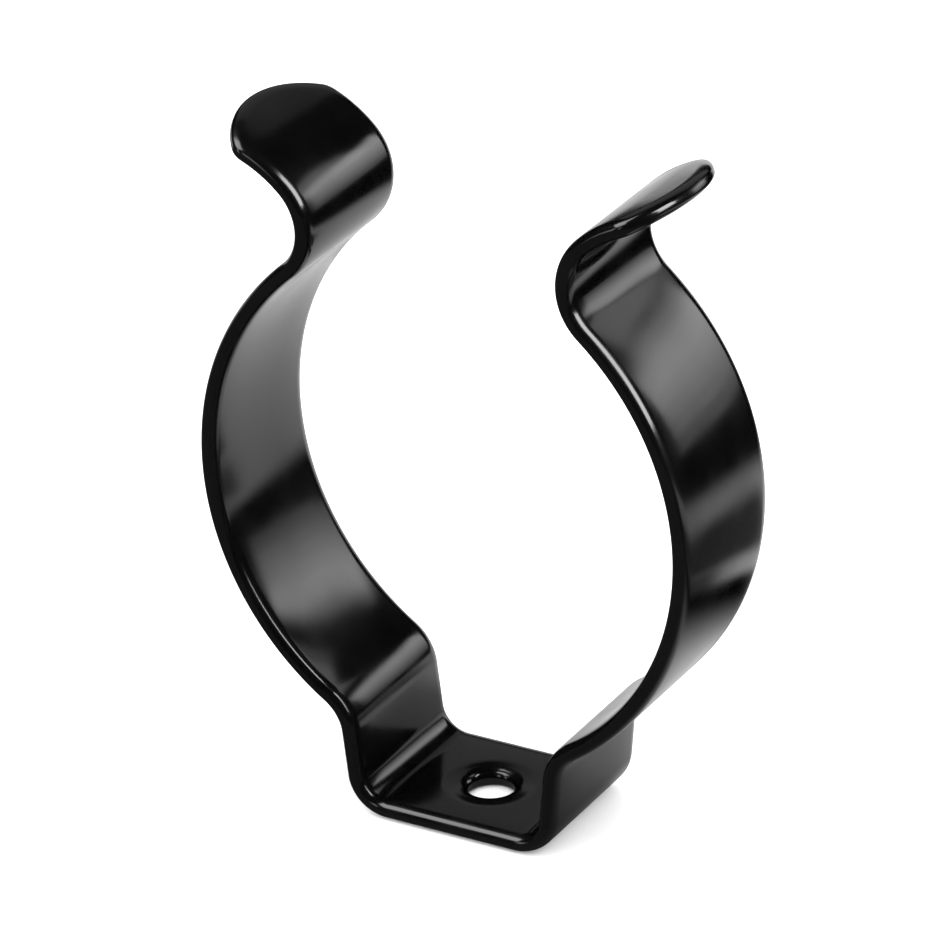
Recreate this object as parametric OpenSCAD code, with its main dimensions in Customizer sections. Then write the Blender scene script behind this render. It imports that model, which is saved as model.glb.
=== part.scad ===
// Spring tool clip: one strip of coated spring steel, bent into a foot with
// two short walls, two arms that close round a tool, and two lips that lead
// the tool in. One screw holds the foot to a wall or a board.
// Millimetres, +Z up. The origin is the middle of the foot's underside, the
// arms spread along X and the strip's width runs along Y.

/* [Strip] */
// Width of the coated strip
strip_w = 16.4; // [13:0.2:19]
// Thickness of the coated strip
strip_t = 1.7; // [1.6:0.1:2.2]
// Width of the soft shoulders along the strip's edges, seen on a face
edge_wide = 1.4; // [0.6:0.1:1.4]
// Depth of the soft shoulders, seen end on
edge_deep = 0.7; // [0.3:0.02:0.74]
// Depth by which the tight bends and the pressed ends are drawn thinner
draw_t = 0.02; // [0.01:0.01:0.03]

/* [Foot] */
// Flat length between the foot's two bends
foot_l = 13.8; // [11:0.1:20]
// Inside radius of the bends up from the foot
foot_bend_r = 2.5; // [1:0.1:4]
// Slope of the walls, up from level
wall_angle = 84; // [78:1:90]
// Straight length of the walls
wall_l = 4.5; // [2:0.1:8]

/* [Arms] */
// Inside radius of the shoulders, where the walls turn out into the arms
shoulder_r = 3.75; // [2:0.25:6]
// Slope where an arm leaves its shoulder
arm_low_angle = 34; // [28:1:42]
// Inside radius of the arms, which the tool lies against
arm_r = 26.2; // [20:0.2:34]
// Slope where an arm meets its neck, leaning in over the tool
arm_top_angle = 139; // [128:1:144]

/* [Lips] */
// Inside radius of the necks, which turn the arms back out
neck_r = 4.8; // [3:0.1:8]
// Slope where a neck passes into its lip
neck_angle = 44; // [36:1:60]
// Inside radius of the lips' gentle curl
lip_r = 12; // [8:0.5:20]
// Slope of the lips' flat ends
lip_angle = 24; // [10:1:32]
// Flat length between a lip's curl and its rounded end
lip_flat_l = 0.2; // [0.2:0.1:6]
// Radius of the rounded ends, seen on the flat
tip_r = 11; // [10.5:0.5:16]
// Radius of the ends' two corners
tip_corner_r = 2; // [1.9:0.1:3]

/* [Screw hole] */
// Diameter of the hole at its throat
hole_d = 4.4; // [3:0.1:6]
// Width of the hole's rounded upper rim
hole_top_wide = 1.1; // [0.5:0.1:1.3]
// Depth of the hole's rounded upper rim
hole_top_deep = 0.8; // [0.3:0.05:0.8]
// Rounding of the hole's lower rim
hole_under_r = 0.6; // [0.3:0.05:0.6]
// Flat margin between the rims' rounding and the foot's plate
hole_land = 0.4; // [0.2:0.1:1]

/* [Hidden] */
$fn = 96;

half_t = strip_t / 2;
// Roundings as [width on the face, depth]
edge = [edge_wide, edge_deep];
hole_top = [hole_top_wide, hole_top_deep];
hole_under = [hole_under_r, hole_under_r];
// Length by which a drawn piece runs on inside the full strip at each end
lap_l = 5 * draw_t;
// The strip from the foot outwards, as [radius of the middle line, turn, draw]
// for a bend and [length, 0, draw] for a straight. A turn above 0 closes
// inwards, and drawn pieces lie between full ones.
RUN = [
    [foot_bend_r + half_t, wall_angle, draw_t],
    [wall_l, 0, 0],
    [shoulder_r + half_t, arm_low_angle - wall_angle, draw_t],
    [arm_r + half_t, arm_top_angle - arm_low_angle, 0],
    [neck_r + half_t, neck_angle - arm_top_angle, draw_t],
    [lip_r + half_t, lip_angle - neck_angle, 0],
];

// Moves a child from the start of a piece to its end, headed along the strip
module onward(piece) {
    side = sign(piece[1]) * piece[0];
    if (piece[1] == 0) translate([piece[0], 0, 0]) children();
    else translate([0, 0, side]) rotate([0, -piece[1], 0]) translate([0, 0, -side]) children();
}

// Strip end on, width along X and thickness along Y, drawn in all round
module strip_section(draw) {
    w = strip_w - 2 * draw;
    t = strip_t - 2 * draw;
    square([w, t - 2 * edge_deep], center = true);
    square([w - 2 * edge_wide, t], center = true);
    for (x = [-1, 1], y = [-1, 1])
        translate([x * (w / 2 - edge_wide), y * (t / 2 - edge_deep)]) scale(edge) circle(1);
}

// Plate of thickness t, from X = 0 to a reach at which its upper and its lower
// edge are rounded, seen end on, each rounding as [width, depth]
module edge_profile(t, reach, top, under) {
    square([reach - top[0], t / 2]);
    translate([0, -t / 2]) square([reach - under[0], t / 2]);
    translate([0, under[1] - t / 2]) square([reach, t - top[1] - under[1]]);
    intersection() {
        translate([0, -t / 2]) square([reach, t]);
        union() {
            translate([reach - top[0], t / 2 - top[1]]) scale(top) circle(1);
            translate([reach - under[0], under[1] - t / 2]) scale(under) circle(1);
        }
    }
}

// Straight stretch of the strip, along X from the origin
module straight(length, draw) {
    rotate([90, 0, 90]) linear_extrude(length) strip_section(draw);
}

// Bend of the strip from the origin, upwards for a turn above 0
module bend(middle_r, turn, draw) {
    lap_a = draw > 0 ? lap_l / middle_r * 180 / PI : 0;
    rotate([turn < 0 ? 180 : 0, 0, 0]) translate([0, 0, middle_r]) rotate([90, 90, 0])
        rotate_extrude(angle = abs(turn) + 2 * lap_a, start = -lap_a)
            translate([middle_r, 0]) rotate(90) strip_section(draw);
}

// Rounded end of a lip, along X from the origin: two corners of the full strip
// with the end's arc pressed in between them
module tip() {
    corner_y = strip_w / 2 - tip_corner_r;
    arc_a = asin(corner_y / (tip_r - tip_corner_r));
    lap_a = lap_l / tip_r * 180 / PI;
    for (side = [0, 1]) mirror([0, side, 0]) translate([0, corner_y, 0])
        rotate(90) mirror([0, 1, 0]) rotate_extrude(angle = 90 - arc_a)
            edge_profile(strip_t, tip_corner_r, edge, edge);
    intersection() {
        translate([(tip_corner_r - tip_r) * cos(arc_a), 0, 0])
            rotate_extrude(angle = 2 * (arc_a + lap_a), start = -arc_a - lap_a)
                edge_profile(strip_t - 2 * draw_t, tip_r - draw_t, edge, edge);
        translate([-lap_l, -strip_w / 2, -strip_t]) cube([tip_r, strip_w, 2 * strip_t]);
    }
}

// The strip from the start of piece i to the end of its lip
module strip_from(i) {
    onward(RUN[i]) {
        rotate(180) {
            if (RUN[i][1] == 0) straight(RUN[i][0], RUN[i][2]);
            else bend(RUN[i][0], RUN[i][1], RUN[i][2]);
        }
        if (i + 1 < len(RUN)) strip_from(i + 1);
        else {
            straight(lip_flat_l, 0);
            translate([lip_flat_l, 0, 0]) tip();
        }
    }
}

// Foot plate with its screw hole, whose rims are rounded all round
module foot() {
    rim_r = hole_d / 2 + max(hole_top_wide, hole_under_r) + hole_land;
    difference() {
        translate([-foot_l / 2, 0, half_t]) straight(foot_l, 0);
        translate([0, 0, -strip_t]) cylinder(r = rim_r, h = 3 * strip_t);
    }
    translate([0, 0, half_t]) rotate_extrude() translate([rim_r, 0]) mirror([1, 0])
        edge_profile(strip_t, rim_r - hole_d / 2, hole_top, hole_under);
}

module clip() {
    color([0.05, 0.05, 0.055]) union() {
        foot();
        for (side = [0, 1]) mirror([side, 0, 0])
            translate([foot_l / 2, 0, half_t]) strip_from(0);
    }
}

clip();
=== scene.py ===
"""Spring tool clip of coated spring steel, made the way the real one is.

A flat blank is cut with rounded ends and a screw hole, its edges are rounded,
and it is then bent along its run of straights and bends. The coat is a smooth
gloss black skin, and the studio is a pale floor under soft lights.
"""

import logging
import math
from dataclasses import dataclass
from enum import Enum
from typing import Union

import bmesh
import bpy
from mathutils import Matrix, Vector


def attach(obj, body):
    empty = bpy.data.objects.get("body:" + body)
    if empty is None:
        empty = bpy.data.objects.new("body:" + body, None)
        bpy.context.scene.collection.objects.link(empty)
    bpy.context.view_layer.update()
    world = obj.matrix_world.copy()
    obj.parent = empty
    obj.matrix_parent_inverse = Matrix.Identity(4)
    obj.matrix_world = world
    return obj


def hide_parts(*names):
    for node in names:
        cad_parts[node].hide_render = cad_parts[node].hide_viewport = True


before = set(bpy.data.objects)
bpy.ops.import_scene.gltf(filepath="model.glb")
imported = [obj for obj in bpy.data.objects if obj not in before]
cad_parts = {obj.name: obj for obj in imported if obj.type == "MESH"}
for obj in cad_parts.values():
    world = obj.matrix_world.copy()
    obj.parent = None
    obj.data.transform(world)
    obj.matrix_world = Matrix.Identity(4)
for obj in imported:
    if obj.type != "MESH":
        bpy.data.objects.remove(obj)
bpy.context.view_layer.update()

LOG = logging.getLogger("spring_tool_clip")
MM = 0.001
# Slack in millimetres for cutting the flat blank and for welding its outline
CUT_SLACK = 0.0001
WELD_SLACK = 0.001
# Upward share of a normal that parts flat faces from side faces, and a level face's
STEEP = 0.5
LEVEL = 0.999
# Depth of a ray below which it still shows a light: the coat mirrors each light
# once, and not a second time from one face of the clip to another
MIRRORED_ONCE = 2.5

Colour = tuple[float, float, float, float]
Way = tuple[float, float, float]
Span = tuple[float, float]
Value = Union[bpy.types.NodeSocket, float, Colour]


class Side(Enum):
    """The two ends of the strip, by the direction in which they leave the foot."""

    RIGHT = 1
    LEFT = -1


class Rim(Enum):
    """The blank's sharp rims, each of which gets a rounding of its own."""

    OUTLINE = "outline"
    HOLE_TOP = "hole top"
    HOLE_UNDER = "hole under"


def feed(tree: bpy.types.NodeTree, entry: bpy.types.NodeSocket, value: Value) -> None:
    """Gives a node's input its value.

    Args:
        tree: The node tree.
        entry: The input.
        value: A number or a colour, or the socket that the input reads.
    """
    if isinstance(value, bpy.types.NodeSocket):
        tree.links.new(value, entry)
    else:
        entry.default_value = value


def work_out(tree: bpy.types.NodeTree, operation: str, *values: Value) -> bpy.types.NodeSocket:
    """Adds a Math node.

    Args:
        tree: The node tree.
        operation: The kind of sum, as Blender names it.
        values: What goes into the sum, in order.

    Returns:
        The socket with the result.
    """
    node = tree.nodes.new("ShaderNodeMath")
    node.operation = operation
    for entry, value in zip(node.inputs, values):
        feed(tree, entry, value)
    return node.outputs[0]


def ramp(tree: bpy.types.NodeTree, value: Value, places: tuple[Value, Value],
         heights: tuple[Value, Value], soft: bool = True) -> bpy.types.NodeSocket:
    """Adds a ramp from one height to another.

    Args:
        tree: The node tree.
        value: The value that moves along the ramp.
        places: Values at which the ramp starts and ends.
        heights: What the ramp gives up to its start and from its end on.
        soft: Whether it starts and ends gently.

    Returns:
        The socket with the height.
    """
    node = tree.nodes.new("ShaderNodeMapRange")
    node.interpolation_type = "SMOOTHSTEP" if soft else "LINEAR"
    feed(tree, node.inputs["Value"], value)
    for label, (start, stop) in (("From", places), ("To", heights)):
        feed(tree, node.inputs[f"{label} Min"], start)
        feed(tree, node.inputs[f"{label} Max"], stop)
    return node.outputs["Result"]


def blend(tree: bpy.types.NodeTree, share: Value, first: Value,
          second: Value) -> bpy.types.NodeSocket:
    """Adds a mix of two colours.

    Args:
        tree: The node tree.
        share: Share of the second colour.
        first: The first colour.
        second: The second colour.

    Returns:
        The socket with the mixed colour.
    """
    node = tree.nodes.new("ShaderNodeMix")
    node.data_type = "RGBA"
    feed(tree, node.inputs["Factor"], share)
    feed(tree, node.inputs["A"], first)
    feed(tree, node.inputs["B"], second)
    return node.outputs["Result"]


@dataclass(frozen=True)
class Stretch:
    """One stretch of the strip's run, in millimetres and degrees.

    A stretch with no turn is a straight of length size. Any other is a bend
    whose middle line has the radius size, and a turn above 0 closes inwards.
    """

    name: str
    size: float
    turn: float = 0.0
    steps: int = 1

    @property
    def length(self) -> float:
        """Measures the stretch along its middle line.

        Returns:
            The length in millimetres.
        """
        if self.turn == 0.0:
            return self.size
        return self.size * math.radians(abs(self.turn))

    def ahead(self, travel: float) -> Matrix:
        """Gives the frame reached after some travel, from the stretch's start.

        Args:
            travel: Distance along the middle line from the start.

        Returns:
            A matrix whose X runs along the strip and whose Z faces inwards.
        """
        if self.turn == 0.0:
            return Matrix.Translation((travel, 0.0, 0.0))
        side = math.copysign(self.size, self.turn)
        angle = travel / side
        centre = Matrix.Translation((0.0, 0.0, side))
        back = Matrix.Translation((0.0, 0.0, -side))
        return centre @ Matrix.Rotation(-angle, 4, "Y") @ back


@dataclass(frozen=True)
class Run:
    """Half of the bent strip, from the middle of the foot to a lip's end."""

    stretches: tuple[Stretch, ...]
    start_height: float

    @property
    def length(self) -> float:
        """Developed length of all the stretches."""
        return sum(stretch.length for stretch in self.stretches)

    def stations(self) -> list[float]:
        """Gives the distances at which the flat blank is cut for bending.

        Returns:
            Distances from the middle of the foot, in millimetres.
        """
        marks: list[float] = []
        travelled = 0.0
        for stretch in self.stretches:
            for step in range(stretch.steps):
                marks.append(travelled + stretch.length * (step + 1) / stretch.steps)
            travelled += stretch.length
        return marks

    def carry(self, travel: float) -> Matrix:
        """Gives the strip's frame at a distance from the middle of the foot.

        Args:
            travel: Distance along the middle line, past the last stretch as a
                straight line.

        Returns:
            The frame's matrix, in millimetres.
        """
        place = Matrix.Translation((0.0, 0.0, self.start_height))
        left = travel
        for stretch in self.stretches:
            if left <= stretch.length:
                return place @ stretch.ahead(left)
            place = place @ stretch.ahead(stretch.length)
            left -= stretch.length
        return place @ Matrix.Translation((left, 0.0, 0.0))


@dataclass(frozen=True)
class DipCoat:
    """Gloss black dip coat: smooth, with a faint flow and a fine skin.

    The coat draws back towards the strip's two edges, so it is crowned across
    the strip's width, and it sinks round the screw hole. Lengths are in
    millimetres.
    """

    slot: str = "coat"
    black: Colour = (0.0009, 0.0009, 0.0010, 1.0)
    worn_black: Colour = (0.0020, 0.0020, 0.0022, 1.0)
    refraction: float = 1.52
    smooth: float = 0.11
    dull: float = 0.19
    dull_span: Span = (0.3, 0.7)
    noise_detail: float = 1.0
    flow_size: float = 5.0
    flow_depth: float = 0.010
    skin_size: float = 0.45
    skin_depth: float = 0.0012
    crown_half_w: float = 8.2
    crown_depth: float = 0.25
    crown_power: float = 4.0
    dimple_inner_r: float = 2.7
    dimple_outer_r: float = 4.7
    dimple_depth: float = 0.3

    @property
    def lengths(self) -> dict[str, float]:
        """Gives the lengths that the coat's node group takes.

        Returns:
            The lengths in millimetres, by the names of the group's inputs.
        """
        return {
            "Flow size": self.flow_size,
            "Flow depth": self.flow_depth,
            "Skin size": self.skin_size,
            "Skin depth": self.skin_depth,
            "Crown half width": self.crown_half_w,
            "Crown depth": self.crown_depth,
            "Dimple inner radius": self.dimple_inner_r,
            "Dimple outer radius": self.dimple_outer_r,
            "Dimple depth": self.dimple_depth,
        }

    def noise(self, group: bpy.types.NodeTree, place: bpy.types.NodeSocket,
              size: bpy.types.NodeSocket) -> bpy.types.NodeSocket:
        """Adds a soft noise.

        Args:
            group: The coat's node group.
            place: The place on the clip.
            size: Size of the noise's bumps.

        Returns:
            The socket with the noise, from 0 to 1.
        """
        noise = group.nodes.new("ShaderNodeTexNoise")
        feed(group, noise.inputs["Vector"], place)
        feed(group, noise.inputs["Scale"], work_out(group, "DIVIDE", 1.0, size))
        feed(group, noise.inputs["Detail"], self.noise_detail)
        return noise.outputs["Fac"]

    @staticmethod
    def crown(group: bpy.types.NodeTree, entries: bpy.types.NodeOutputs) -> bpy.types.NodeSocket:
        """Adds the fall of the coat towards the strip's edges.

        Args:
            group: The coat's node group.
            entries: The group's inputs.

        Returns:
            The socket with the depth below the middle of the strip.
        """
        axes = group.nodes.new("ShaderNodeSeparateXYZ")
        feed(group, axes.inputs["Vector"], entries["Place"])
        share = work_out(group, "DIVIDE", axes.outputs["Y"], entries["Crown half width"])
        fall = work_out(group, "POWER", work_out(group, "ABSOLUTE", share), entries["Crown power"])
        return work_out(group, "MULTIPLY", fall, entries["Crown depth"])

    @staticmethod
    def dimple(group: bpy.types.NodeTree, entries: bpy.types.NodeOutputs) -> bpy.types.NodeSocket:
        """Adds the dimple round the screw hole.

        Args:
            group: The coat's node group.
            entries: The group's inputs.

        Returns:
            The socket with the dimple's depth.
        """
        level = group.nodes.new("ShaderNodeVectorMath")
        level.operation = "MULTIPLY"
        level.inputs[1].default_value = (1.0, 1.0, 0.0)
        feed(group, level.inputs[0], entries["Place"])
        from_hole = group.nodes.new("ShaderNodeVectorMath")
        from_hole.operation = "LENGTH"
        feed(group, from_hole.inputs[0], level.outputs["Vector"])
        radii = (entries["Dimple inner radius"], entries["Dimple outer radius"])
        return ramp(group, from_hole.outputs["Value"], radii, (entries["Dimple depth"], 0.0))

    def flow_group(self) -> bpy.types.NodeTree:
        """Builds the node group for a liquid coat's uneven skin.

        Returns:
            A group with a height in metres and a mask of duller areas.
        """
        group = bpy.data.node_groups.new("coat_flow", "ShaderNodeTree")
        face = group.interface
        face.new_socket("Place", in_out="INPUT", socket_type="NodeSocketVector")
        for name in (*self.lengths, "Crown power"):
            face.new_socket(name, in_out="INPUT", socket_type="NodeSocketFloat")
        for name in ("Height", "Dull"):
            face.new_socket(name, in_out="OUTPUT", socket_type="NodeSocketFloat")
        entries = group.nodes.new("NodeGroupInput").outputs
        results = group.nodes.new("NodeGroupOutput").inputs
        flow = self.noise(group, entries["Place"], entries["Flow size"])
        skin = self.noise(group, entries["Place"], entries["Skin size"])
        height = work_out(group, "ADD", work_out(group, "MULTIPLY", flow, entries["Flow depth"]),
                          work_out(group, "MULTIPLY", skin, entries["Skin depth"]))
        height = work_out(group, "SUBTRACT", height, self.crown(group, entries))
        height = work_out(group, "SUBTRACT", height, self.dimple(group, entries))
        feed(group, results["Height"], height)
        feed(group, results["Dull"], flow)
        return group

    def material(self) -> bpy.types.Material:
        """Builds the coat's material.

        Returns:
            A material that reads the piece's Object coordinates.
        """
        coat = bpy.data.materials.new("gloss_black_coat")
        coat.use_nodes = True
        tree = coat.node_tree
        tree.nodes.clear()
        shader = tree.nodes.new("ShaderNodeBsdfPrincipled")
        shader.inputs["Metallic"].default_value = 0.0
        shader.inputs["IOR"].default_value = self.refraction
        output = tree.nodes.new("ShaderNodeOutputMaterial")
        feed(tree, output.inputs["Surface"], shader.outputs["BSDF"])
        place = tree.nodes.new("ShaderNodeTexCoord")
        flow = tree.nodes.new("ShaderNodeGroup")
        flow.node_tree = self.flow_group()
        feed(tree, flow.inputs["Place"], place.outputs["Object"])
        for name, length in self.lengths.items():
            flow.inputs[name].default_value = length * MM
        flow.inputs["Crown power"].default_value = self.crown_power
        # The group's height is in metres and counts in full
        bump = tree.nodes.new("ShaderNodeBump")
        bump.inputs["Strength"].default_value = 1.0
        bump.inputs["Distance"].default_value = 1.0
        feed(tree, bump.inputs["Height"], flow.outputs["Height"])
        feed(tree, shader.inputs["Normal"], bump.outputs["Normal"])
        gloss = ramp(tree, flow.outputs["Dull"], self.dull_span, (self.smooth, self.dull), soft=False)
        feed(tree, shader.inputs["Roughness"], gloss)
        tint = blend(tree, flow.outputs["Dull"], self.black, self.worn_black)
        feed(tree, shader.inputs["Base Color"], tint)
        return coat


@dataclass
class SpringClip:
    """The clip: one strip, cut flat, rounded at its edges and then bent.

    All sizes are in millimetres and degrees. Radii are those of the inside of
    a bend, as the part's source gives them.
    """

    name: str = "spring_clip"
    node: str = "clip"
    strip_w: float = 16.4
    strip_t: float = 1.7
    edge_wide: float = 1.4
    edge_deep: float = 0.7
    foot_l: float = 13.8
    foot_bend_r: float = 2.5
    wall_angle: float = 84.0
    wall_l: float = 4.5
    shoulder_r: float = 3.75
    arm_low_angle: float = 34.0
    arm_r: float = 26.2
    arm_top_angle: float = 139.0
    neck_r: float = 4.8
    neck_angle: float = 44.0
    lip_r: float = 12.0
    lip_angle: float = 24.0
    lip_flat_l: float = 0.2
    tip_r: float = 11.0
    tip_corner_r: float = 2.0
    hole_d: float = 4.4
    hole_top_wide: float = 1.1
    hole_top_deep: float = 0.8
    hole_under_r: float = 0.6
    # Half of the square round the hole, and its ring's width in widths of the upper rim
    hole_pad: float = 4.6
    hole_ring: float = 1.5
    # Width of the narrow faces that hold the flat faces level beside a rounding
    margin: float = 0.12
    # Numbers of steps in which the bends and the roundings are made
    foot_bend_steps: int = 28
    shoulder_steps: int = 20
    arm_steps: int = 110
    neck_steps: int = 36
    lip_steps: int = 16
    edge_steps: int = 10
    hole_steps: int = 128
    corner_steps: int = 16
    tip_steps: int = 48

    def run(self) -> Run:
        """Gives the run of stretches from the middle of the foot to a tip.

        Returns:
            The run, which is the same on both sides.
        """
        half_t = self.strip_t / 2
        shoulder_turn = self.arm_low_angle - self.wall_angle
        arm_turn = self.arm_top_angle - self.arm_low_angle
        neck_turn = self.neck_angle - self.arm_top_angle
        lip_turn = self.lip_angle - self.neck_angle
        stretches = (
            Stretch("foot", self.foot_l / 2),
            Stretch("foot bend", self.foot_bend_r + half_t, self.wall_angle, self.foot_bend_steps),
            Stretch("wall", self.wall_l),
            Stretch("shoulder", self.shoulder_r + half_t, shoulder_turn, self.shoulder_steps),
            Stretch("arm", self.arm_r + half_t, arm_turn, self.arm_steps),
            Stretch("neck", self.neck_r + half_t, neck_turn, self.neck_steps),
            Stretch("lip", self.lip_r + half_t, lip_turn, self.lip_steps),
            Stretch("lip flat", self.lip_flat_l),
        )
        return Run(stretches, half_t)

    def trace_end(self, mesh: bmesh.types.BMesh, first: bmesh.types.BMVert,
                  reach: float, side: Side) -> bmesh.types.BMVert:
        """Traces a rounded end of the blank, from one long edge to the other.

        Args:
            mesh: The blank's mesh.
            first: Vertex at which the long edge ends.
            reach: Developed distance at which the corners start.
            side: The end that is traced.

        Returns:
            The vertex at which the other long edge starts.
        """
        corner_y = self.strip_w / 2 - self.tip_corner_r
        spread = math.asin(corner_y / (self.tip_r - self.tip_corner_r))
        arc_x = reach - (self.tip_r - self.tip_corner_r) * math.cos(spread)
        way = side.value
        arcs = (
            ((way * reach, way * corner_y, 0.0), math.pi / 2 - spread, self.corner_steps),
            ((way * arc_x, 0.0, 0.0), 2 * spread, self.tip_steps),
            ((way * reach, -way * corner_y, 0.0), math.pi / 2 - spread, self.corner_steps),
        )
        last = first
        for centre, angle, steps in arcs:
            swept = bmesh.ops.spin(mesh, geom=[last], cent=centre, axis=(0.0, 0.0, -1.0),
                                   angle=angle, steps=steps, use_merge=False)
            last = next(item for item in swept["geom_last"] if isinstance(item, bmesh.types.BMVert))
        return last

    def outline(self, mesh: bmesh.types.BMesh, reach: float) -> None:
        """Draws the blank's outline and fills it with one flat face.

        Args:
            mesh: An empty mesh to draw in.
            reach: Developed distance at which the rounded ends start.
        """
        half_w = self.strip_w / 2
        corner = bmesh.ops.create_vert(mesh, co=(-reach, half_w, 0.0))["vert"][0]
        for side in (Side.RIGHT, Side.LEFT):
            drawn = bmesh.ops.extrude_vert_indiv(mesh, verts=[corner])
            across = drawn["verts"][0]
            across.co = (side.value * reach, side.value * half_w, 0.0)
            corner = self.trace_end(mesh, across, reach, side)
        bmesh.ops.remove_doubles(mesh, verts=mesh.verts[:], dist=WELD_SLACK)
        bmesh.ops.contextual_create(mesh, geom=mesh.edges[:])

    def mark_bends(self, mesh: bmesh.types.BMesh, run: Run) -> None:
        """Cuts the flat blank across at every station of its bends.

        Args:
            mesh: The blank's mesh.
            run: The run that the blank will be bent to.
        """
        for station in run.stations():
            for side in Side:
                geom = mesh.verts[:] + mesh.edges[:] + mesh.faces[:]
                bmesh.ops.bisect_plane(mesh, geom=geom, dist=CUT_SLACK,
                                       plane_co=(side.value * station, 0.0, 0.0),
                                       plane_no=(1.0, 0.0, 0.0))

    @staticmethod
    def middle_face(mesh: bmesh.types.BMesh) -> bmesh.types.BMFace:
        """Finds the flat blank's face that lies in its middle."""
        return min(mesh.faces, key=lambda face: face.calc_center_median().length)

    def cut_hole(self, mesh: bmesh.types.BMesh) -> None:
        """Opens the screw hole in the foot, with a ring of faces round it.

        Args:
            mesh: The flat blank.
        """
        for axis in (Vector((1.0, 0.0, 0.0)), Vector((0.0, 1.0, 0.0))):
            for way in (1.0, -1.0):
                foot = [face for face in mesh.faces
                        if abs(face.calc_center_median().x) < self.foot_l / 2]
                geom = set(foot)
                for face in foot:
                    geom.update(face.edges, face.verts)
                bmesh.ops.bisect_plane(mesh, geom=list(geom), dist=CUT_SLACK,
                                       plane_co=way * self.hole_pad * axis, plane_no=axis)
        # The four sides of the square round the hole share the hole's steps
        sides = self.middle_face(mesh).edges[:]
        bmesh.ops.subdivide_edges(mesh, edges=sides, cuts=self.hole_steps // 4 - 1)
        pad = self.middle_face(mesh)
        hole_r = self.hole_d / 2
        for radius in (hole_r + self.hole_ring * self.hole_top_wide, hole_r):
            bmesh.ops.inset_region(mesh, faces=[pad], thickness=self.margin, use_even_offset=True)
            for vert in pad.verts:
                vert.co *= radius / vert.co.length
        bmesh.ops.delete(mesh, geom=[pad], context="FACES_ONLY")

    def thicken(self, mesh: bmesh.types.BMesh) -> None:
        """Gives the flat blank its thickness, half to each side.

        Args:
            mesh: The flat blank.
        """
        bmesh.ops.recalc_face_normals(mesh, faces=mesh.faces[:])
        bmesh.ops.translate(mesh, verts=mesh.verts[:], vec=(0.0, 0.0, -self.strip_t / 2))
        drawn = bmesh.ops.extrude_face_region(mesh, geom=mesh.faces[:])
        top = [item for item in drawn["geom"] if isinstance(item, bmesh.types.BMVert)]
        bmesh.ops.translate(mesh, verts=top, vec=(0.0, 0.0, self.strip_t))
        bmesh.ops.recalc_face_normals(mesh, faces=mesh.faces[:])

    def rims(self, mesh: bmesh.types.BMesh, rim: Rim) -> list[bmesh.types.BMEdge]:
        """Finds the sharp edges of the outline or of one end of the hole.

        Args:
            mesh: The thick blank.
            rim: The rim that is looked for.

        Returns:
            The rim's edges, each between a flat face and a side face.
        """
        inside = self.hole_d / 2 + self.margin
        found = []
        for edge in mesh.edges:
            upward = sorted(abs(face.normal.z) for face in edge.link_faces)
            if upward[0] > STEEP or upward[-1] < STEEP:
                continue
            middle = (edge.verts[0].co + edge.verts[1].co) / 2
            kind = Rim.OUTLINE
            if middle.xy.length < inside:
                kind = Rim.HOLE_TOP if middle.z > 0.0 else Rim.HOLE_UNDER
            if kind is rim:
                found.append(edge)
        return found

    def round_edges(self, mesh: bmesh.types.BMesh) -> None:
        """Rounds the strip's edges and the hole's rims.

        The coat draws back from an edge, which leaves a shoulder that is wider
        on the face than it is deep. Each rim is therefore rounded while the
        blank is drawn out in height, and the blank is then set back.

        Args:
            mesh: The thick blank.
        """
        shoulders = {Rim.OUTLINE: (self.edge_wide, self.edge_deep),
                     Rim.HOLE_TOP: (self.hole_top_wide, self.hole_top_deep),
                     Rim.HOLE_UNDER: (self.hole_under_r, self.hole_under_r)}
        for rim, (wide, deep) in shoulders.items():
            bmesh.ops.scale(mesh, verts=mesh.verts[:], vec=(1.0, 1.0, wide / deep))
            bmesh.ops.bevel(mesh, geom=self.rims(mesh, rim), offset=wide, offset_type="OFFSET",
                            segments=self.edge_steps, profile=0.5, affect="EDGES",
                            clamp_overlap=False, material=-1)
            bmesh.ops.scale(mesh, verts=mesh.verts[:], vec=(1.0, 1.0, deep / wide))
        mesh.normal_update()
        for up in (1.0, -1.0):
            flats = [face for face in mesh.faces if face.normal.z * up > LEVEL]
            bmesh.ops.inset_region(mesh, faces=flats, thickness=self.margin, depth=0.0,
                                   use_boundary=True, use_even_offset=True)

    def bend(self, mesh: bmesh.types.BMesh, run: Run) -> None:
        """Bends the flat blank to its run, the same way on both sides.

        Args:
            mesh: The flat blank with its thickness and rounded edges.
            run: The run from the middle of the foot to a tip.
        """
        for vert in mesh.verts:
            way = math.copysign(1.0, vert.co.x)
            place = run.carry(abs(vert.co.x)) @ Vector((0.0, vert.co.y, vert.co.z))
            vert.co = (way * place.x, place.y, place.z)

    def build(self) -> bpy.types.Object:
        """Makes the bent clip as an object in the shared frame.

        Returns:
            The clip's object, in metres, at the origin.
        """
        run = self.run()
        mesh = bmesh.new()
        self.outline(mesh, run.length)
        self.mark_bends(mesh, run)
        self.cut_hole(mesh)
        self.thicken(mesh)
        self.round_edges(mesh)
        self.bend(mesh, run)
        bmesh.ops.recalc_face_normals(mesh, faces=mesh.faces[:])
        bmesh.ops.scale(mesh, verts=mesh.verts[:], vec=(MM, MM, MM))
        for face in mesh.faces:
            face.smooth = True
        data = bpy.data.meshes.new(self.name)
        mesh.to_mesh(data)
        mesh.free()
        piece = bpy.data.objects.new(self.name, data)
        bpy.context.scene.collection.objects.link(piece)
        return piece

    def dress(self, piece: bpy.types.Object, coat: DipCoat) -> None:
        """Coats the clip and ties it to the frame.

        Args:
            piece: The clip's object.
            coat: The finish that it gets.
        """
        piece.data.materials.append(coat.material())
        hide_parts(self.node)
        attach(piece, "root")


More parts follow.
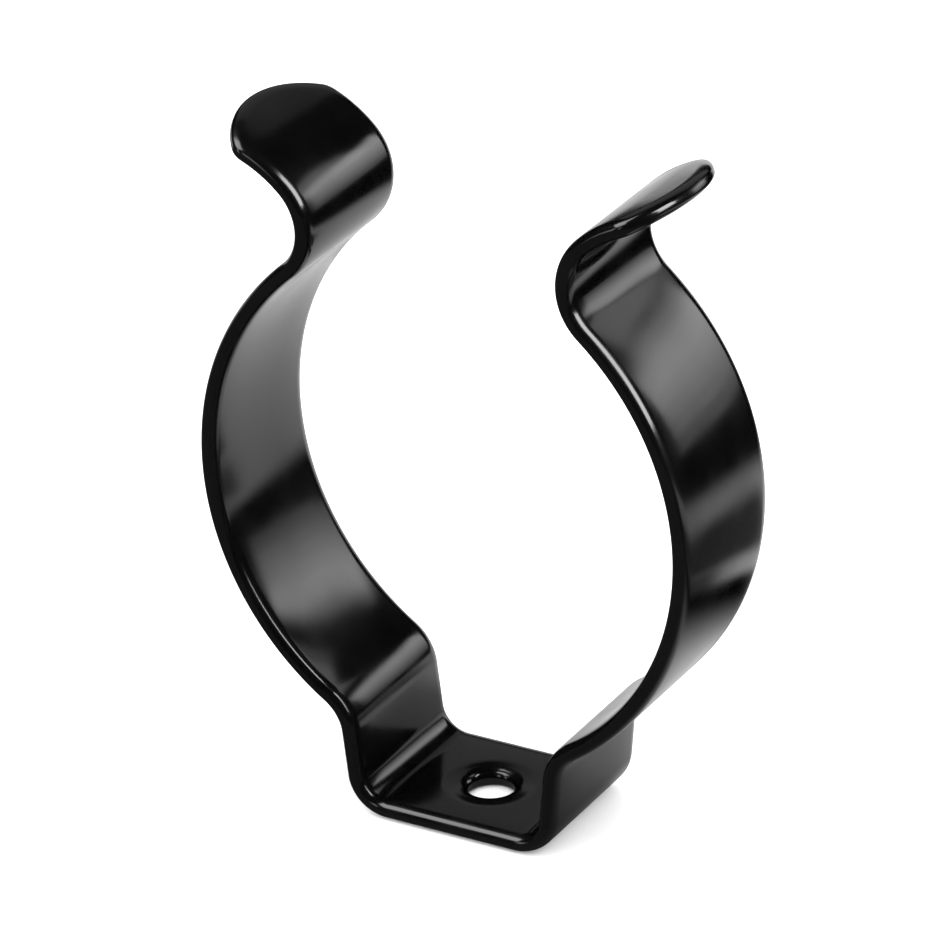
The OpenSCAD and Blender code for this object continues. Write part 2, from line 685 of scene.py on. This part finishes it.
@dataclass(frozen=True)
class SoftLight:
    """A rectangular soft light, placed by the directions that it fills.

    Angles are in degrees as seen from the clip, and the distance is in metres.
    The brightness is that of the light's face, where white paper in full light
    has 1.
    """

    name: str
    azimuth: float
    elevation: float
    wide: float
    tall: float
    brightness: float
    distance: float = 0.9

    @property
    def size(self) -> Span:
        """Width and height of the light's face in metres."""
        half_w, half_h = math.radians(self.wide) / 2, math.radians(self.tall) / 2
        return 2 * self.distance * math.tan(half_w), 2 * self.distance * math.tan(half_h)

    @property
    def power(self) -> float:
        """Power in watts that gives the face its brightness."""
        width, height = self.size
        return self.brightness * math.pi * width * height


@dataclass(frozen=True)
class PaintedShadeBand:
    """A band of painted shade on the floor, which only the coat's reflections show.

    It lies across a way, between a near and a far edge, and it ends at one
    side, which is measured along a way of its own. Each edge is soft and is
    given by the two places between which it fades. A place is the dot product
    of a point on the floor, in metres, with the way. The shade is the share of
    the floor's brightness that the band leaves.
    """

    near: Span
    far: Span
    side: Span
    shade: float
    way: Way = (0.5, 0.866, 0.0)
    side_way: Way = (-1.0, 1.0, 0.0)


@dataclass(frozen=True)
class PaleFloor:
    """Plain pale floor under an even light, in metres.

    In the coat's reflections the floor's colour is painted as a pool of light:
    bright round the clip and behind it, painted dim in front and far off on the
    right, with bands of painted shade behind the right arm and the left wall.
    """

    size: float = 6.0
    roughness: float = 0.9
    white: Colour = (0.9, 0.9, 0.9, 1.0)
    mirrored_black: Colour = (0.0, 0.0, 0.0, 1.0)
    mirrored_white: Colour = (0.397, 0.397, 0.397, 1.0)
    # Where the floor's colour is painted dim in the coat's reflections: in front, and far off on the
    # right
    front: Span = (-0.015, 0.020)
    front_dim: float = 0.08
    far: Span = (0.088, 0.125)
    right: Span = (-0.020, 0.030)
    # Bands of painted shade on the floor, seen only in the coat's reflections
    painted_shade_bands: tuple[PaintedShadeBand, ...] = (
        PaintedShadeBand(near=(0.027, 0.046), far=(0.049, 0.054), side=(0.020, 0.032), shade=0.0),
        PaintedShadeBand(near=(0.044, 0.050), far=(0.056, 0.064), side=(-0.003, 0.004), shade=0.15),
        PaintedShadeBand(near=(0.056, 0.063), far=(0.086, 0.112), side=(0.020, 0.032), shade=0.1),
        PaintedShadeBand(near=(0.006, 0.010), far=(0.018, 0.025), side=(0.002, 0.0055), shade=0.45,
                 way=(0.0, 1.0, 0.0), side_way=(1.0, 0.0, 0.0)),
    )

    @staticmethod
    def darken(tree: bpy.types.NodeTree, pool: bpy.types.NodeSocket,
               cover: bpy.types.NodeSocket) -> bpy.types.NodeSocket:
        """Takes the covered share out of a brightness.

        Args:
            tree: The floor's node tree.
            pool: The brightness so far.
            cover: The share that is covered, from 0 to 1.

        Returns:
            The socket with the brightness that is left.
        """
        return work_out(tree, "SUBTRACT", pool, work_out(tree, "MULTIPLY", pool, cover))

    @staticmethod
    def measure(tree: bpy.types.NodeTree, place: bpy.types.NodeSocket,
                way: Way) -> bpy.types.NodeSocket:
        """Adds a measure of how far a place lies along a way.

        Args:
            tree: The floor's node tree.
            place: The place on the floor.
            way: The direction that is measured along.

        Returns:
            The socket with the distance.
        """
        node = tree.nodes.new("ShaderNodeVectorMath")
        node.operation = "DOT_PRODUCT"
        feed(tree, node.inputs[0], place)
        node.inputs[1].default_value = way
        return node.outputs["Value"]

    def cover(self, tree: bpy.types.NodeTree, place: bpy.types.NodeSocket,
              shade_band: PaintedShadeBand) -> bpy.types.NodeSocket:
        """Adds the share of the floor's brightness that a band of painted shade covers.

        Args:
            tree: The floor's node tree.
            place: The place on the floor.
            shade_band: The band of painted shade.

        Returns:
            The socket with the share, from 0 to 1.
        """
        along = self.measure(tree, place, shade_band.way)
        aside = self.measure(tree, place, shade_band.side_way)
        start = ramp(tree, along, shade_band.near, (0.0, 1.0))
        stop = ramp(tree, along, shade_band.far, (1.0 - shade_band.shade, 0.0))
        inside = ramp(tree, aside, shade_band.side, (1.0, 0.0))
        return work_out(tree, "MULTIPLY", work_out(tree, "MULTIPLY", start, stop), inside)

    def painted_reflection_pool(self, tree: bpy.types.NodeTree,
                      place: bpy.types.NodeSocket) -> bpy.types.NodeSocket:
        """Adds the painted pool of light and shade on the floor, for the coat's reflections.

        Args:
            tree: The floor's node tree.
            place: The place on the floor.

        Returns:
            The socket with the brightness, from 0 to 1.
        """
        axes = tree.nodes.new("ShaderNodeSeparateXYZ")
        feed(tree, axes.inputs["Vector"], place)
        pool = ramp(tree, axes.outputs["Y"], self.front, (self.front_dim, 1.0))
        far = ramp(tree, axes.outputs["Y"], self.far, (0.0, 1.0))
        right = ramp(tree, axes.outputs["X"], self.right, (0.0, 1.0))
        pool = self.darken(tree, pool, work_out(tree, "MULTIPLY", far, right))
        for shade_band in self.painted_shade_bands:
            pool = self.darken(tree, pool, self.cover(tree, place, shade_band))
        return pool

    def material(self) -> bpy.types.Material:
        """Builds the floor's material.

        Returns:
            A matt white material that reads the floor's Object coordinates.
        """
        pale = bpy.data.materials.new("pale_floor")
        pale.use_nodes = True
        tree = pale.node_tree
        shader = tree.nodes["Principled BSDF"]
        shader.inputs["Roughness"].default_value = self.roughness
        shader.inputs["Specular IOR Level"].default_value = 0.0
        place = tree.nodes.new("ShaderNodeTexCoord")
        # For glossy rays the floor's colour is a painted pool of light with painted shade, which the
        # coat mirrors
        pool = self.painted_reflection_pool(tree, place.outputs["Object"])
        mirrored = blend(tree, pool, self.mirrored_black, self.mirrored_white)
        path = tree.nodes.new("ShaderNodeLightPath")
        tint = blend(tree, path.outputs["Is Glossy Ray"], self.white, mirrored)
        feed(tree, shader.inputs["Base Color"], tint)
        return pale

    def build(self) -> bpy.types.Object:
        """Lays the floor.

        Returns:
            The floor.
        """
        mesh = bmesh.new()
        bmesh.ops.create_grid(mesh, x_segments=1, y_segments=1, size=self.size / 2)
        data = bpy.data.meshes.new("floor")
        mesh.to_mesh(data)
        mesh.free()
        floor = bpy.data.objects.new("floor", data)
        bpy.context.scene.collection.objects.link(floor)
        data.materials.append(self.material())
        return floor


@dataclass
class Studio:
    """Pale floor, an even white room, soft lights and the camera.

    The room lights the floor and is black in reflections, so that the coat
    mirrors only the soft lights and the floor. Lights that share a direction
    lie over each other, which gives the sum a soft edge. The aim and the
    view's distances are in metres, and its angles are in degrees.
    """

    aim: Way = (0.0, 0.0, 0.035)
    white: Colour = (1.0, 1.0, 1.0, 1.0)
    room_white: float = 2.6
    room_mirrored: float = 0.0
    view_azimuth: float = 30.47
    view_elevation: float = 26.555
    view_roll: float = -1.943
    view_distance: float = 0.58109
    view_right: float = -0.000507
    view_up: float = -0.000875
    view_depth: Span = (0.01, 20.0)
    focal_pixels: float = 6349.0
    frame_pixels: float = 950.0
    sensor_w: float = 36.0
    # Name, azimuth, elevation, width, height, brightness and, where near, distance
    lights: tuple[SoftLight, ...] = (
        SoftLight("back_right_outer", 145.5, 12.0, 23.0, 27.0, 0.8, 0.42),
        SoftLight("back_right_wide", 145.5, 13.5, 23.0, 21.0, 0.7, 0.42),
        SoftLight("back_right_middle", 145.5, 15.0, 23.0, 16.0, 0.6, 0.42),
        SoftLight("back_right_inner", 145.5, 16.25, 23.0, 11.5, 0.6, 0.42),
        SoftLight("back_right_core", 145.5, 17.25, 23.0, 6.5, 0.5, 0.42),
        SoftLight("right_edge", 96.5, 38.0, 23.0, 42.0, 13.0),
        SoftLight("near_right_soft", 144.0, 38.5, 22.0, 20.0, 0.7, 0.10),
        SoftLight("near_right_core", 144.0, 39.8, 20.0, 12.0, 0.7, 0.10),
        SoftLight("left_high_outer", -68.0, 58.0, 44.0, 36.0, 5.0),
        SoftLight("left_high_middle", -68.0, 58.0, 28.0, 24.0, 9.0),
        SoftLight("left_high_core", -68.0, 58.0, 16.0, 16.0, 13.0),
        SoftLight("back_left_dim", 208.0, 30.0, 36.0, 34.0, 0.25),
        SoftLight("front_left", -43.0, 16.0, 13.0, 28.0, 2.5),
        SoftLight("front_middle", -7.0, 24.0, 12.0, 26.0, 2.0),
    )

    @staticmethod
    def outward(azimuth: float, elevation: float) -> Vector:
        """Gives the direction from the clip to a viewer.

        Args:
            azimuth: Degrees about +Z, 0 in front and 90 on the right.
            elevation: Degrees above the floor.

        Returns:
            A unit vector.
        """
        turn, rise = math.radians(azimuth), math.radians(elevation)
        level = math.cos(rise)
        return Vector((math.sin(turn) * level, -math.cos(turn) * level, math.sin(rise)))

    def place_light(self, soft: SoftLight) -> bpy.types.Object:
        """Hangs one soft light, which shows in the coat and not on the floor.

        Args:
            soft: The light's directions and brightness.

        Returns:
            The light's object.
        """
        data = bpy.data.lights.new(soft.name, "AREA")
        data.shape = "RECTANGLE"
        data.size, data.size_y = soft.size
        data.energy = soft.power
        data.use_nodes = True
        tree = data.node_tree
        path = tree.nodes.new("ShaderNodeLightPath")
        once = work_out(tree, "LESS_THAN", path.outputs["Ray Depth"], MIRRORED_ONCE)
        feed(tree, tree.nodes["Emission"].inputs["Strength"], once)
        light = bpy.data.objects.new(soft.name, data)
        bpy.context.scene.collection.objects.link(light)
        outward = self.outward(soft.azimuth, soft.elevation)
        light.location = Vector(self.aim) + soft.distance * outward
        light.rotation_euler = outward.to_track_quat("Z", "Y").to_euler()
        light.visible_camera = False
        light.visible_diffuse = False
        return light

    def room(self) -> None:
        """Sets the white room, which the coat mirrors as dark."""
        world = bpy.data.worlds.new("studio")
        world.use_nodes = True
        tree = world.node_tree
        tree.nodes.clear()
        path = tree.nodes.new("ShaderNodeLightPath")
        mix = tree.nodes.new("ShaderNodeMixShader")
        feed(tree, mix.inputs["Fac"], path.outputs["Is Glossy Ray"])
        for entry, strength in zip(mix.inputs[1:], (self.room_white, self.room_mirrored)):
            walls = tree.nodes.new("ShaderNodeBackground")
            walls.inputs["Color"].default_value = self.white
            walls.inputs["Strength"].default_value = strength
            feed(tree, entry, walls.outputs["Background"])
        output = tree.nodes.new("ShaderNodeOutputWorld")
        feed(tree, output.inputs["Surface"], mix.outputs["Shader"])
        # The room isn't sampled as a light, or the coat would mirror it as white
        world.cycles.sampling_method = "NONE"
        bpy.context.scene.world = world

    def camera(self) -> bpy.types.Object:
        """Sets up the camera at the photograph's viewing angle.

        Returns:
            The camera's object.
        """
        turn = math.radians(self.view_azimuth)
        level = Vector((math.cos(turn), math.sin(turn), 0.0))
        back = self.outward(self.view_azimuth, self.view_elevation)
        upright = back.cross(level)
        roll = math.radians(self.view_roll)
        right = math.cos(roll) * level + math.sin(roll) * upright
        up = math.cos(roll) * upright - math.sin(roll) * level
        shift = self.view_right * right + self.view_up * up
        place = Vector(self.aim) + self.view_distance * back + shift
        data = bpy.data.cameras.new("camera")
        data.sensor_fit = "HORIZONTAL"
        data.sensor_width = self.sensor_w
        data.lens = self.sensor_w * self.focal_pixels / self.frame_pixels
        data.clip_start, data.clip_end = self.view_depth
        camera = bpy.data.objects.new("camera", data)
        bpy.context.scene.collection.objects.link(camera)
        turned = Matrix((right, up, back)).transposed().to_4x4()
        camera.matrix_world = Matrix.Translation(place) @ turned
        bpy.context.scene.camera = camera
        return camera

    def build(self) -> None:
        """Sets the whole studio up."""
        PaleFloor().build()
        for soft in self.lights:
            self.place_light(soft)
        self.room()
        self.camera()
        view = bpy.context.scene.view_settings
        view.view_transform = "Standard"
        view.look = "None"


def main() -> None:
    """Builds the clip and its studio, and notes the sizes."""
    logging.basicConfig(level=logging.INFO, format="%(name)s: %(message)s")
    clip = SpringClip()
    run = clip.run()
    for stretch in run.stretches:
        LOG.info("%s: %.2f mm along its middle line", stretch.name, stretch.length)
    piece = clip.build()
    clip.dress(piece, DipCoat())
    LOG.info("%s: %d faces, %.1f mm from tip start to tip start when flat",
             piece.name, len(piece.data.polygons), 2 * run.length)
    Studio().build()
    LOG.info("studio: floor, lights and camera are set")


if __name__ == "__main__":
    main()
